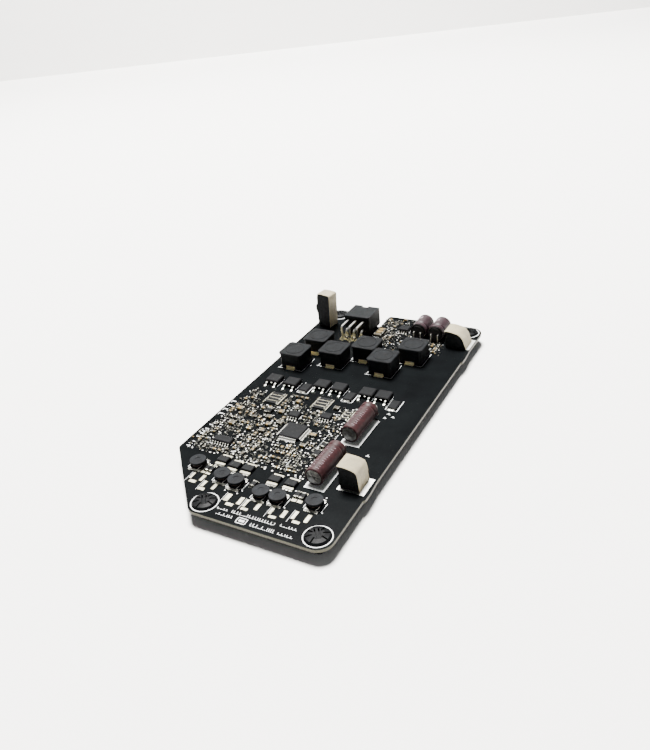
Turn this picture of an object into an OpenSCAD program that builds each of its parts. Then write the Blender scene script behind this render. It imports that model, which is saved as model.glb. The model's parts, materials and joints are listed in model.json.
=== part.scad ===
// Populated driver board: shielded power inductors, switching transistors,
// lying electrolytic capacitors, a six-way power header, four snap-in corner
// bushes and three foam gaskets with a woven conductive jacket.
// +X right, +Y back (towards the power header), +Z up, millimetres.

/* [Board] */
// Width of the board, left to right
board_width = 86; // [70:0.5:110]
// Length of the board, front to back
board_length = 169.4; // [140:0.2:200]
// Laminate thickness
board_thickness = 1.2; // [0.8:0.1:2.4]
// How far the cut across the front-left corner runs along the front edge
corner_cut_x = 29; // [10:0.5:35]
// How far the same cut runs along the left edge
corner_cut_y = 31; // [10:0.5:40]
// Corner radius of the outline
corner_radius = 6; // [2:0.5:10]
// Depth of the notch behind the power header
notch_depth = 12.9; // [6:0.1:20]
// Height of the broken-off panel tabs left on the right edge
tab_stub = 0.55; // [0.2:0.05:1.5]

/* [Corner bushes] */
// Height of the bush feet below the board
foot_height = 4.5; // [2:0.1:10]
// Diameter of the slotted disc above the board
bush_diameter = 9.5; // [6:0.1:14]
// Height of the slotted disc above the board
bush_height = 1.3; // [1:0.1:4]
// Diameter of the stud socket in each foot
stud_socket_diameter = 3; // [2:0.1:4]
// Diameter of the hole in the board for each bush
bush_hole_diameter = 6.4; // [5:0.1:8]

/* [Power header] */
// Contact pitch of the header
header_pitch = 4.2; // [2.5:0.1:5.1]
// Depth of the header housing, front to back
header_depth = 12.8; // [8:0.1:18]
// Height of the header housing
header_height = 9.6; // [6:0.1:14]

/* [Power inductors] */
// Side of the square top plate
inductor_side = 12.3; // [8:0.1:16]
// Height of a power inductor
inductor_height = 8; // [4:0.1:12]

/* [Electrolytic capacitors] */
// Diameter of the two front capacitors over the sleeve
long_diameter = 7.6; // [5:0.1:13]
// Length of the two front capacitors
long_capacitor = 20; // [12:0.5:30]
// Diameter of the two rear capacitors over the sleeve
short_diameter = 8.2; // [5:0.1:13]
// Length of the two rear capacitors
short_capacitor = 12; // [8:0.5:20]

/* [Gaskets] */
// Height of the front right gasket
front_gasket_height = 9.7; // [5:0.1:15]
// Height of the rear right gasket
rear_gasket_height = 8.5; // [5:0.1:15]
// Height of the tall rear left gasket
tall_gasket_height = 18.4; // [10:0.1:25]
// Thickness of the woven jacket
jacket_thickness = 0.4; // [0.2:0.05:0.8]

/* [Small parts] */
// Pitch of the small chip grid along the width
chip_pitch_x = 2.55; // [2.4:0.05:4]
// Pitch of the small chip grid along the length
chip_pitch_y = 1.75; // [1.6:0.05:3]
// Seed of the small chip layout
chip_seed = 11; // [1:1:99]

/* [Hidden] */
top = foot_height + board_thickness;
centre_x = (board_width + tab_stub) / 2;
centre_y = board_length / 2;
gap = 0.03;
header_x = 26.2;
contact_x = header_x - 0.5;
header_y = 146.6;
header_width = 2 * header_pitch + 5.4;
upper_row = 6.9;
lower_row = 2.7;
upper_pin_y = 138.7;
lower_pin_y = 143.4;
pin = 0.96;
notch_y = board_length - notch_depth;
notch_x0 = header_x - header_width / 2 - 1;
notch_x1 = header_x + header_width / 2 + 1;
sleeve = 0.2;
bush_spots = [[31.9, 6.3], [79.6, 6.3], [79.6, 163.4], [6.9, 163.4]];
bush_turn = 127;
inductor_spots = [[11.6, 108.7], [29.1, 116.1], [15.7, 125.3],
                  [42.1, 125.3], [54.7, 116.1], [63.9, 130.6]];
mosfet_spots = [[10.5, 84.3], [20.1, 84.3], [34.5, 87.1],
                [43.1, 87.1], [57.1, 87.5], [64.9, 87.5]];
diode_spots = [[27.8, 88.9], [50.4, 88.8], [71.6, 89.0]];
drum_spots = [[16.0, 23.9], [30.3, 20.5], [37.4, 19.4],
              [50.0, 17.2], [57.2, 17.2], [71.2, 19.8]];
block_spots = [[23.9, 29.9], [30.4, 28.5], [36.6, 28.6], [50.0, 26.8], [57.1, 26.8]];
// Front capacitors: vent end to the front. Rear: leads to the front.
front_caps = [[65.5, 29.6], [65.5, 58.8]];
rear_caps = [[58.3, 149.4], [67.3, 149.4]];
lead_reach = [2.2, 2.2, 1.2, 1.2];
// x0, x1, y0, y1, height, corner radius, turn and sideways lean of each gasket
gasket_boxes = [[74.1, 82.9, 31.9, 40.3, front_gasket_height, 1.8, 0, 0],
                [73.4, 84.2, 145.8, 155.0, rear_gasket_height, 4.6, 0, 0],
                [1.7, 9.8, 148.5, 155.0, tall_gasket_height, 1.4, -9, 1.2]];
land_boxes = [[74.0, 85.0, 30.7, 40.7], [74.0, 85.6, 146.3, 156.6],
              [2.4, 9.2, 149.4, 154.4]];
land_thickness = 0.08;
// Small-outline packages: centre, body, height, pins per side
small_ics = [[15.8, 41.1, 8.65, 3.9, 1.5, 7], [34.6, 67.5, 4.9, 3.9, 1.5, 4],
             [48.3, 71.0, 4.9, 3.9, 1.5, 4], [48.3, 156.4, 5.2, 4.6, 1.8, 4]];
ic_at = [40.5, 56.6];
ic_side = 9.6;
ic_pins = 16;
ic_pitch = 0.5;
// Banks of wide chips: corner, count, pitch, body length
banks = [[15.2, 72.6, 4, 2.25, 6.6], [37.8, 75.8, 4, 2.25, 6.6], [54.0, 71.2, 4, 2.1, 3.4]];
// Wide single chips: centre, length, width, height, 1 when turned to face front
big_chips = [[8.6, 64.2, 3.2, 2.4, 1.2, 0], [11.6, 53.2, 3.2, 2.4, 1.2, 0],
             [21.2, 52.2, 2.6, 1.9, 1.1, 0], [27.3, 52.8, 2.8, 2.2, 1.1, 0],
             [27.4, 57.6, 2.8, 2.2, 1.1, 0], [31.4, 60.4, 2.2, 3.0, 1.1, 1],
             [24.8, 62.6, 3.0, 2.0, 1.1, 0], [27.6, 68.0, 3.0, 2.2, 1.1, 0],
             [30.8, 77.6, 2.6, 2.0, 1.1, 0], [49.0, 49.4, 2.6, 2.0, 1.1, 0],
             [49.4, 57.2, 2.2, 3.0, 1.1, 1], [49.2, 78.6, 2.6, 2.0, 1.1, 0],
             [37.4, 147.0, 4.4, 2.2, 1.3, 0], [37.4, 149.7, 4.4, 2.2, 1.3, 0],
             [37.4, 152.4, 4.4, 2.2, 1.3, 0]];
// Black chips: centre, length, width, height, 1 when turned to face front
dark_chips = [[62.4, 22.3, 3.4, 1.9, 0.9, 1], [64.7, 22.3, 3.4, 1.9, 0.9, 1],
              [20.8, 23.3, 3.4, 1.7, 0.9, 1], [22.9, 23.2, 3.4, 1.6, 0.9, 1],
              [43.6, 21.6, 3.2, 2.0, 0.9, 1], [21.8, 66.9, 3.6, 3.2, 1.1, 1],
              [57.0, 46.9, 4.4, 2.8, 1.2, 1], [57.0, 52.5, 3.2, 2.6, 1.2, 1]];
// Areas that the small chip grid fills: x0, x1, y0, y1
chip_fields = [[4.2, 33.0, 33.8, 71.0], [25.0, 56.0, 32.6, 51.0],
               [35.5, 48.0, 140.0, 168.0], [50.6, 57.6, 56.5, 70.0],
               [66.5, 73.5, 137.8, 149.5], [24.0, 36.0, 70.0, 83.0],
               [5.0, 13.5, 71.0, 82.0], [38.0, 54.5, 63.6, 75.0]];
// Areas kept free of small chips: x0, x1, y0, y1
keep_out = [[8.4, 22.6, 36.6, 45.6], [33.4, 47.6, 49.5, 63.6], [31.0, 38.2, 63.0, 71.6],
            [44.8, 51.8, 66.6, 75.0], [44.4, 52.6, 151.8, 161.2], [34.3, 40.4, 145.2, 154.2],
            [19.4, 24.2, 64.4, 69.4], [20.8, 27.0, 26.0, 34.6], [14.0, 23.6, 71.2, 81.4],
            [36.6, 46.0, 74.6, 84.4], [33.6, 48.6, 118.8, 132.0], [60.0, 71.0, 130.0, 137.4],
            [54.8, 59.4, 44.2, 55.0], [52.8, 56.0, 70.2, 80.0]];
cells = [for (f = chip_fields)
    for (i = [0 : floor((f[1] - f[0]) / chip_pitch_x) - 1])
    for (j = [0 : floor((f[3] - f[2]) / chip_pitch_y) - 1])
    [f[0] + (i + 0.5) * chip_pitch_x, f[2] + (j + 0.5) * chip_pitch_y]];
dice = rands(0, 1, 3 * len(cells), chip_seed);
chips = [for (k = [0 : len(cells) - 1])
    if (dice[3 * k] > 0.34 && clear_of_zones(cells[k]) && clear_of_big(cells[k])
        && first_here(k)) [cells[k][0], cells[k][1], dice[3 * k + 1], dice[3 * k + 2]]];

function inside(p, z) = p[0] > z[0] && p[0] < z[1] && p[1] > z[2] && p[1] < z[3];
function clear_of_zones(p) = len([for (z = keep_out) if (inside(p, z)) 1]) == 0;
function clear_of_big(p) = len([for (b = concat(big_chips, dark_chips))
    if (abs(p[0] - b[0]) < 3.0 && abs(p[1] - b[1]) < 2.1) 1]) == 0;
// A cell counts once when two areas overlap
function first_here(k) = len([for (m = [0 : 1 : k - 1])
    if (abs(cells[m][0] - cells[k][0]) < 2.45 && abs(cells[m][1] - cells[k][1]) < 1.65)
    1]) == 0;
function unit(v) = v / norm(v);
function half_angle(a, b, c) = acos(unit(a - b) * unit(c - b)) / 2;
function tangents(a, b, c, r) = r == 0 ? [b]
    : [b + unit(a - b) * r / tan(half_angle(a, b, c)),
       b + unit(c - b) * r / tan(half_angle(a, b, c))];
function round_centre(a, b, c, r) =
    b + unit(unit(a - b) + unit(c - b)) * r / sin(half_angle(a, b, c));

// Places children on the board's top face at board coordinates
module on_board(x, y, z = 0) {
    translate([x - centre_x, y - centre_y, top + z]) children();
}

module slab(x0, x1, y0, y1, z0, z1) {
    on_board(x0, y0, z0) cube([x1 - x0, y1 - y0, z1 - z0]);
}

// Outline with exact arcs: straight polygon plus a circle in each round corner
module rounded_outline(points, radii) {
    n = len(points);
    polygon([for (i = [0 : n - 1])
        each tangents(points[(i + n - 1) % n], points[i], points[(i + 1) % n], radii[i])]);
    for (i = [0 : n - 1]) if (radii[i] > 0)
        translate(round_centre(points[(i + n - 1) % n], points[i],
                               points[(i + 1) % n], radii[i]))
            circle(r = radii[i], $fn = 64);
}

module circuit_board() {
    w = board_width;
    l = board_length;
    r = corner_radius;
    color([0.10, 0.11, 0.12])
    translate([-centre_x, -centre_y, foot_height])
    linear_extrude(board_thickness)
    difference() {
        union() {
            rounded_outline([[corner_cut_x, 0], [w, 0], [w, l], [notch_x1, l],
                [notch_x1, notch_y], [notch_x0, notch_y], [notch_x0, l], [0, l],
                [0, corner_cut_y]], [5, r, r, 1.5, 0, 0, 1.5, r, 3]);
            for (y = [28.3, 133.6])
                polygon([[w - 1, y], [w, y], [w + tab_stub, y + 0.8],
                    [w + tab_stub, y + 5], [w, y + 12.5], [w - 1, y + 12.5]]);
        }
        for (p = bush_spots) translate(p) circle(d = bush_hole_diameter, $fn = 64);
        for (i = [-1 : 1], y = [upper_pin_y, lower_pin_y])
            translate([contact_x + i * header_pitch, y]) circle(r = 0.8, $fn = 32);
        for (k = [0, 1], s = [-1, 1])
            translate([front_caps[k][0] + s * 1.75,
                       front_caps[k][1] + long_capacitor + lead_reach[k]])
                circle(r = 0.4, $fn = 32);
        for (k = [0, 1], s = [-1, 1])
            translate([rear_caps[k][0] + s * 1.75, rear_caps[k][1] - lead_reach[k + 2]])
                circle(r = 0.4, $fn = 32);
    }
}

module gasket_lands() {
    color([0.80, 0.80, 0.77])
        for (b = land_boxes) slab(b[0], b[1], b[2], b[3], 0, land_thickness);
}

// Snap-in bush: domed slotted disc, neck through the board, foot with a socket
module bush(k) {
    r = bush_diameter / 2;
    neck = bush_hole_diameter / 2 - 0.05;
    p = bush_spots[k];
    color([0.13, 0.14, 0.15])
    on_board(p[0], p[1])
    difference() {
        rotate_extrude($fn = 64) polygon([
            [0, -top], [2.4, -top], [2.6, -top + 0.3], [2.7, -board_thickness - 1.6],
            [3.6, -board_thickness - 0.9], [3.6, -board_thickness], [neck, -board_thickness],
            [neck, 0], [r, 0], [r, bush_height - 0.9], [r - 0.5, bush_height - 0.35],
            [2.6, bush_height], [0, bush_height]]);
        translate([0, 0, -top - 1])
            cylinder(d = stud_socket_diameter, h = foot_height + 1.4, $fn = 48);
        rotate(bush_turn) {
            for (s = [-1, 1])
                translate([-2.6, s * 0.72 - 0.3, bush_height - 0.9]) cube([5.2, 0.6, 2]);
            for (a = [48, 90, 138, -48, -90, -138]) rotate(a)
                translate([1.9, -0.3, bush_height - 1.0]) cube([2.35, 0.6, 3]);
        }
    }
}

module header_housing() {
    w = header_width;
    cell = 3.5;
    color([0.12, 0.12, 0.13])
    on_board(header_x, header_y)
    difference() {
        union() {
            translate([-w / 2, 0, 0]) cube([w, header_depth, header_height]);
            translate([-w / 2 + 0.6, -0.5, header_height - 1]) cube([w - 1.2, 0.6, 1]);
        }
        for (i = [-1 : 1], z = [lower_row, upper_row])
            translate([contact_x - header_x + i * header_pitch, 0, z]) {
                translate([-cell / 2, 3.2, -cell / 2]) cube([cell, header_depth, cell]);
                translate([-pin / 2 - gap, -1, -pin / 2 - gap])
                    cube([pin + 2 * gap, header_depth, pin + 2 * gap]);
            }
        translate([-2.6, header_depth - 1.3, header_height - 0.8]) cube([3.4, 2, 2]);
        for (s = [-1, 1])
            translate([s * (w / 2) - 0.4, header_depth - 6, -1]) cube([0.8, 7, 1.9]);
    }
}

// A bent square pin: side profile drawn in the YZ plane, then given its width
module bent_pin(x, z, y_bend) {
    h = pin / 2;
    y_tip = header_y + header_depth - 2.2;
    y0 = y_bend - h;
    low = -board_thickness - 1.9;
    on_board(x + h, 0) rotate([0, -90, 0]) linear_extrude(pin)
        polygon([[low, y0 + 0.25], [low, y0 + pin - 0.25], [low + 0.4, y0 + pin],
            [z - h - 0.3, y0 + pin], [z - h, y0 + pin + 0.3], [z - h, y_tip - 0.6],
            [z - h + 0.3, y_tip], [z + h - 0.3, y_tip], [z + h, y_tip - 0.6],
            [z + h, y0 + 0.9], [z + h - 0.9, y0], [low + 0.4, y0]]);
}

module header_pins_upper() {
    color([0.82, 0.82, 0.80])
        for (i = [-1 : 1]) bent_pin(contact_x + i * header_pitch, upper_row, upper_pin_y);
}

module header_pins_lower() {
    color([0.82, 0.82, 0.80])
        for (i = [-1 : 1]) bent_pin(contact_x + i * header_pitch, lower_row, lower_pin_y);
}

module cut_square(side, cut) {
    a = side / 2;
    polygon([[-a + cut, -a], [a - cut, -a], [a, -a + cut], [a, a - cut],
             [a - cut, a], [-a + cut, a], [-a, a - cut], [-a, -a + cut]]);
}

// Shielded power inductor: ferrite frame, thin top plate, ring round the core
module inductor(k) {
    p = inductor_spots[k];
    s = inductor_side;
    h = inductor_height;
    color([0.17, 0.18, 0.19])
    on_board(p[0], p[1])
    difference() {
        union() {
            translate([0, 0, 0.3]) linear_extrude(h - 1.1) cut_square(s - 0.8, 0.9);
            translate([0, 0, h - 0.9]) linear_extrude(0.75) cut_square(s, 1.1);
            translate([0, 0, h - 0.2]) linear_extrude(0.16) cut_square(s - 0.5, 1.1);
            translate([0, 0, h - 0.2]) cylinder(r = 4.5, h = 0.2, $fn = 64);
        }
        translate([0, 0, h - 0.18]) difference() {
            cylinder(r = 4.75, h = 1, $fn = 64);
            translate([0, 0, -1]) cylinder(r = 4.5, h = 3, $fn = 64);
        }
        for (s2 = [-1, 1]) translate([-2.4, s2 * (s / 2 - 0.25) - 0.3, 0]) cube([4.8, 0.6, 1.7]);
    }
}

module inductor_terminals() {
    s = inductor_side / 2;
    color([0.85, 0.76, 0.45])
    for (p = inductor_spots, side = [0, 180])
        on_board(p[0], p[1]) rotate(side) translate([-2.3, 0, 0]) {
            translate([0, -s - 0.55, 0]) cube([4.6, 2.6, 0.25]);
            translate([0, -s + 0.2, 0.2]) cube([4.6, 0.25, 1.2]);
        }
}

// Moulded block with a small bevel round the top
module moulded(x, y, z, bevel = 0.2) {
    translate([-x / 2, -y / 2, 0]) cube([x, y, z - bevel]);
    translate([-x / 2 + bevel, -y / 2 + bevel, z - bevel - 0.01])
        cube([x - 2 * bevel, y - 2 * bevel, bevel + 0.01]);
}

module transistor(k) {
    p = mosfet_spots[k];
    color([0.13, 0.13, 0.14])
        on_board(p[0], p[1] + 2.9 + 3.05, 0.5) moulded(6.6, 6.1, 1.8, 0.25);
}

// A bent flat lead: profile in YZ from the tip at y = 0 back to the body
module bent_lead(x, width, reach, rise, t) {
    translate([x + width / 2, 0, 0]) rotate([0, -90, 0]) linear_extrude(width)
        polygon([[0, 0], [t, 0], [t, reach * 0.38], [rise, reach * 0.62], [rise, reach],
                 [rise - t, reach], [rise - t, reach * 0.66], [0, reach * 0.42]]);
}

module transistor_leads() {
    color([0.84, 0.84, 0.82])
    for (p = mosfet_spots) on_board(p[0], p[1]) {
        for (s = [-1, 1]) bent_lead(s * 2.285, 0.8, 2.88, 1.35, 0.5);
        translate([-0.4, 2.45, 0.85]) cube([0.8, 0.43, 0.5]);
    }
}

module transistor_tabs() {
    color([0.80, 0.80, 0.78])
    for (p = mosfet_spots) on_board(p[0], p[1] + 2.9)
        translate([-2.65, 0.9, 0]) cube([5.3, 6.3, 0.49]);
}

module diode(k) {
    p = diode_spots[k];
    color([0.14, 0.15, 0.16]) on_board(p[0], p[1], 0.15) moulded(4.2, 6.0, 1.0, 0.2);
}

module diode_terminals() {
    color([0.82, 0.82, 0.80])
    for (p = diode_spots, s = [0, 180]) on_board(p[0], p[1]) rotate(s) {
        translate([-1.5, -3.5, 0]) cube([3.0, 2.2, 0.14]);
        translate([-1.5, -3.22, 0.1]) cube([3.0, 0.2, 0.4]);
    }
}

// Capacitors lie along Y. The frame used here has the vent at y = 0.
module cap_frame(k) {
    front = k < 2;
    c = front ? front_caps[k] : rear_caps[k - 2];
    len = front ? long_capacitor : short_capacitor;
    on_board(c[0], front ? c[1] : c[1] + len, cap_radius(k) + 0.1)
        rotate([0, 0, front ? 0 : 180]) rotate([-90, 0, 0]) children();
}

function cap_length(k) = k < 2 ? long_capacitor : short_capacitor;
function cap_radius(k) = (k < 2 ? long_diameter : short_diameter) / 2;

module capacitor_can(k) {
    r = cap_radius(k) - sleeve - 0.02;
    n = cap_length(k);
    color([0.78, 0.78, 0.77])
    cap_frame(k) difference() {
        union() {
            translate([0, 0, 0.25]) cylinder(r = r, h = n - 4.27, $fn = 64);
            cylinder(r = r - 0.35, h = 0.5, $fn = 64);
            translate([0, 0, n - 4.1]) cylinder(r = r - 0.45, h = 1.5, $fn = 64);
            translate([0, 0, n - 2.68]) cylinder(r = r, h = 1.68, $fn = 64);
        }
        for (a = [0, 60, 120]) rotate(a)
            translate([-2.5, -0.11, -0.02]) cube([5, 0.22, 0.2]);
        translate([0, 0, n - 2.5]) cylinder(r = r - 0.35, h = 3, $fn = 64);
    }
}

// Shrink sleeve: tube rolled over both ends, drawn in at the can's groove
module capacitor_sleeve(k) {
    r = cap_radius(k);
    n = cap_length(k);
    g = n - 3.35;
    color([0.33, 0.17, 0.17])
    cap_frame(k) rotate_extrude($fn = 64) polygon([
        [r - sleeve, 0.3], [r - sleeve, 0.18], [r - 0.62, -0.03], [r - 0.62, -0.18],
        [r - 0.25, -0.14], [r, 0.15], [r, g - 0.8], [r - 0.3, g], [r, g + 0.8],
        [r, n - 0.75], [r - sleeve, n - 0.7], [r - sleeve, g + 0.62], [r - 0.5, g],
        [r - sleeve, g - 0.62]]);
}

module capacitor_bungs() {
    color([0.10, 0.10, 0.11])
    for (k = [0 : 3]) cap_frame(k) translate([0, 0, cap_length(k) - 2.45]) difference() {
        r = cap_radius(k) - sleeve - 0.42;
        union() {
            cylinder(r = r, h = 1.8, $fn = 48);
            translate([0, 0, 1.5]) cylinder(r = r + 0.22, h = 0.5, $fn = 48);
            translate([0, 0, 1.9]) cylinder(r = r - 0.5, h = 0.5, $fn = 48);
        }
        for (s = [-1, 1]) translate([s * 1.75, 0, -1]) cylinder(r = 0.33, h = 5, $fn = 24);
    }
}

// Round leads: straight out of the bung, then down through the board
module capacitor_leads() {
    color([0.80, 0.80, 0.78])
    for (k = [0 : 3]) cap_frame(k) for (s = [-1, 1]) {
        bend = cap_length(k) + lead_reach[k];
        translate([s * 1.75, 0, bend - lead_reach[k] - 2.4])
            cylinder(r = 0.3, h = lead_reach[k] + 2.4, $fn = 24);
        translate([s * 1.75, 0, bend]) sphere(r = 0.3, $fn = 24);
        translate([s * 1.75, 0, bend]) rotate([-90, 0, 0])
            cylinder(r = 0.3, h = cap_radius(k) + board_thickness + 1.6, $fn = 24);
    }
}

// Open drum inductor: base with flats, wound waist, round top flange
module drum_inductor(k) {
    p = drum_spots[k];
    color([0.20, 0.21, 0.22])
    on_board(p[0], p[1], 0.2) difference() {
        union() {
            intersection() {
                cylinder(r = 3.4, h = 0.9, $fn = 64);
                translate([-3.4, -3.1, 0]) cube([6.8, 6.2, 1]);
            }
            cylinder(r = 2.5, h = 2.4, $fn = 48);
            translate([0, 0, 2.0]) cylinder(r = 3.25, h = 0.8, $fn = 64);
        }
        translate([0, 0, 2.65]) cylinder(r = 1.2, h = 1, $fn = 48);
    }
}

module drum_terminals() {
    color([0.90, 0.90, 0.88])
    for (p = drum_spots, s = [0, 180]) on_board(p[0], p[1]) rotate(s) {
        translate([-2.8, -3.7, 0]) cube([5.6, 2.6, 0.19]);
        translate([-2.7, -3.45, 0.15]) cube([5.4, 0.3, 0.5]);
    }
}

module filter_blocks() {
    color([0.13, 0.14, 0.15])
        for (p = block_spots) on_board(p[0], p[1], 0.12) moulded(4.6, 3.5, 1.3, 0.15);
}

module filter_terminals() {
    color([0.86, 0.86, 0.80])
    for (p = block_spots, s = [0, 180]) on_board(p[0], p[1]) rotate(s) {
        translate([-2.2, -3.4, 0]) cube([4.4, 2.4, 0.11]);
        translate([-2.2, -3.1, 0.1]) cube([4.4, 1.3, 0.45]);
    }
}

module controller_ic() {
    color([0.14, 0.15, 0.16]) on_board(ic_at[0], ic_at[1], 0.12) difference() {
        moulded(ic_side, ic_side, 1.3, 0.2);
        translate([-3.7, -3.7, 1.15]) cylinder(r = 0.5, h = 1, $fn = 32);
    }
}

module small_ics() {
    color([0.14, 0.15, 0.16])
        for (c = small_ics) on_board(c[0], c[1], 0.12) moulded(c[2], c[3], c[4], 0.2);
}

module ic_leads() {
    color([0.82, 0.82, 0.80]) {
        for (side = [0 : 90 : 270], i = [0 : ic_pins - 1])
            on_board(ic_at[0], ic_at[1]) rotate(side)
                translate([(i - (ic_pins - 1) / 2) * ic_pitch, -ic_side / 2 - 1.28, 0])
                    bent_lead(0, 0.27, 1.27, 0.75, 0.18);
        for (c = small_ics, side = [0, 180], i = [0 : c[5] - 1])
            on_board(c[0], c[1]) rotate(side)
                translate([(i - (c[5] - 1) / 2) * 1.27, -c[3] / 2 - 1.28, 0])
                    bent_lead(0, 0.42, 1.27, 0.85, 0.2);
    }
}

// One chip part: ends = true draws the two metal ends, else the body between
module chip(x, y, length, width, height, turned, ends) {
    e = min(length * 0.24, 0.7);
    on_board(x, y) rotate(turned ? 90 : 0) {
        if (ends) for (s = [-1, 1])
            translate([s * (length - e) / 2 - e / 2, -width / 2, 0]) cube([e, width, height]);
        else translate([-length / 2 + e, -width / 2 + 0.04, 0.03])
            cube([length - 2 * e, width - 0.08, height - 0.07]);
    }
}

module grid_chips(low, high, ends) {
    for (c = chips) if (c[2] >= low && c[2] < high)
        chip(c[0], c[1], c[3] > 0.35 ? 1.9 : 1.6, c[3] > 0.35 ? 1.0 : 1.35,
             c[2] < 0.5 ? 0.5 : 0.8, c[3] < 0.35, ends);
}

module listed_chips(list, ends) {
    for (b = list) chip(b[0], b[1], b[2], b[3], b[4], b[5] == 1, ends);
}

module bank_chips(ends) {
    for (b = banks, i = [0 : b[2] - 1])
        chip(b[0] + b[4] / 2, b[1] + (i + 0.5) * b[3], b[4], b[3] - 0.45, 0.55, false, ends);
}

module chip_resistors() {
    color([0.10, 0.10, 0.11]) {
        grid_chips(0, 0.5, false);
        listed_chips(dark_chips, false);
        bank_chips(false);
    }
}

module chip_capacitors() {
    color([0.62, 0.52, 0.38]) {
        grid_chips(0.5, 1.1, false);
        listed_chips(big_chips, false);
    }
}

module chip_ends() {
    color([0.86, 0.86, 0.84]) {
        grid_chips(0, 1.1, true);
        listed_chips(concat(dark_chips, big_chips), true);
        bank_chips(true);
    }
}

// Cross-section of a gasket in XZ: square left, right shoulder rounded. The inset
// draws it in at the top and right only, where the jacket lies.
module gasket_section(b, inset) {
    h = b[4] - inset;
    x1 = b[1] - inset;
    r = b[5] - inset;
    lean = b[7];
    polygon([[b[0], 0], [x1, 0], [x1 + lean, h - r], [x1 + lean - r, h],
             [b[0] + lean * h / b[4], h]]);
    translate([x1 + lean - r, h - r]) intersection() {
        circle(r = r, $fn = 64);
        square(r + 1);
    }
}

// Turns children about a gasket's own middle
module gasket_turned(b) {
    translate([(b[0] + b[1]) / 2, (b[2] + b[3]) / 2, 0]) rotate(b[6])
        translate([-(b[0] + b[1]) / 2, -(b[2] + b[3]) / 2, 0]) children();
}

module foam(k) {
    b = gasket_boxes[k];
    color([0.09, 0.09, 0.10])
    on_board(0, 0, land_thickness) gasket_turned(b) translate([0, b[3] - 0.15, 0])
        rotate([90, 0, 0]) linear_extrude(b[3] - b[2] - 0.3)
            gasket_section(b, jacket_thickness + gap);
}

// Woven jacket over the top and right side of the foam, open at both cut ends
module jacket(k) {
    b = gasket_boxes[k];
    color([0.80, 0.76, 0.68])
    on_board(0, 0, land_thickness) gasket_turned(b) translate([0, b[3], 0])
        rotate([90, 0, 0]) linear_extrude(b[3] - b[2]) difference() {
            gasket_section(b, 0);
            translate([-0.001, -0.001]) gasket_section(b, jacket_thickness);
        }
}

circuit_board();
gasket_lands();
bush(0);  // bush_front_left
bush(1);  // bush_front_right
bush(2);  // bush_rear_right
bush(3);  // bush_rear_left
header_housing();
header_pins_upper();
header_pins_lower();
for (k = [0 : 5]) inductor(k);
inductor_terminals();
for (k = [0 : 5]) transistor(k);
transistor_leads();
transistor_tabs();
for (k = [0 : 2]) diode(k);
diode_terminals();
for (k = [0 : 3]) capacitor_can(k);
for (k = [0 : 3]) capacitor_sleeve(k);
capacitor_bungs();
capacitor_leads();
for (k = [0 : 5]) drum_inductor(k);
drum_terminals();
filter_blocks();
filter_terminals();
controller_ic();
small_ics();
ic_leads();
chip_resistors();
chip_capacitors();
chip_ends();
foam(0);  // foam_front
foam(1);  // foam_rear
foam(2);  // foam_tall
jacket(0);  // jacket_front
jacket(1);  // jacket_rear
jacket(2);  // jacket_tall
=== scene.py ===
"""Looks of a populated power driver board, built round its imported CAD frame."""
import json
import math
import random

import bmesh
import bpy
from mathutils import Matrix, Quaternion, Vector, noise


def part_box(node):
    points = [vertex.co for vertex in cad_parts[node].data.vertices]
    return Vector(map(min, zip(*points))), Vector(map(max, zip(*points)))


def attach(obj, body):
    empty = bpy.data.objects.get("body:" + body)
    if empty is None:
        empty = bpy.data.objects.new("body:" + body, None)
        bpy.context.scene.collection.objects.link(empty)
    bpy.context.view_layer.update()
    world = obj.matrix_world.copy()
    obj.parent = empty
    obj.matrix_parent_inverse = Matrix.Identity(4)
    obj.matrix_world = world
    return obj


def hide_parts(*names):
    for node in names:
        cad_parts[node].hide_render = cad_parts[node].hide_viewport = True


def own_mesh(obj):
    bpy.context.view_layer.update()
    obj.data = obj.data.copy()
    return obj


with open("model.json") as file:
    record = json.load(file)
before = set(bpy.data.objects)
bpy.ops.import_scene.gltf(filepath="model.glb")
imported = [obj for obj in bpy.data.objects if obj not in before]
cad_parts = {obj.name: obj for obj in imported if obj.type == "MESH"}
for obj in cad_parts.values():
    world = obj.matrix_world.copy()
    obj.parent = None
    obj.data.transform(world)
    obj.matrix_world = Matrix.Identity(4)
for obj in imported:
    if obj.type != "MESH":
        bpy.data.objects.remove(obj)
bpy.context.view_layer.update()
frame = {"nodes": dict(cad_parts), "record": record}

MM = 0.001
ROOT = "board_assembly"
BOARD_LOW, BOARD_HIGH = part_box("circuit_board")
ORIGIN = Vector((BOARD_LOW.x, BOARD_LOW.y, BOARD_HIGH.z))
BOARD_Z = (BOARD_LOW.z - BOARD_HIGH.z) / MM  # the underside in board millimetres
INK = 0.03  # height of printed ink above the mask
PAD = 0.035  # height of bare pads above the mask
SKIN = 0.02  # height of solder skins and via rings above the mask
JACKET = 0.17  # thickness of the gaskets' woven cloth
WEAVE_PITCH = 0.32  # of the woven cloth
SILVER = "tinned_metal"
DRUMS = [f"drum_inductor_{k}" for k in range(1, 7)]
INDUCTORS = [f"inductor_{k}" for k in range(1, 7)]
dice = random.Random(7)


def at(x, y, z=0.0):
    """Board millimetres (front-left corner, top face) to metres in the frame."""
    return ORIGIN + Vector((x, y, z)) * MM


def in_board(point):
    return (point - ORIGIN) / MM


def node_box(node):
    """x0, x1, y0, y1, z0, z1 of a CAD node in board millimetres."""
    low, high = (in_board(p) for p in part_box(node))
    return low.x, high.x, low.y, high.y, low.z, high.z


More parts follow.
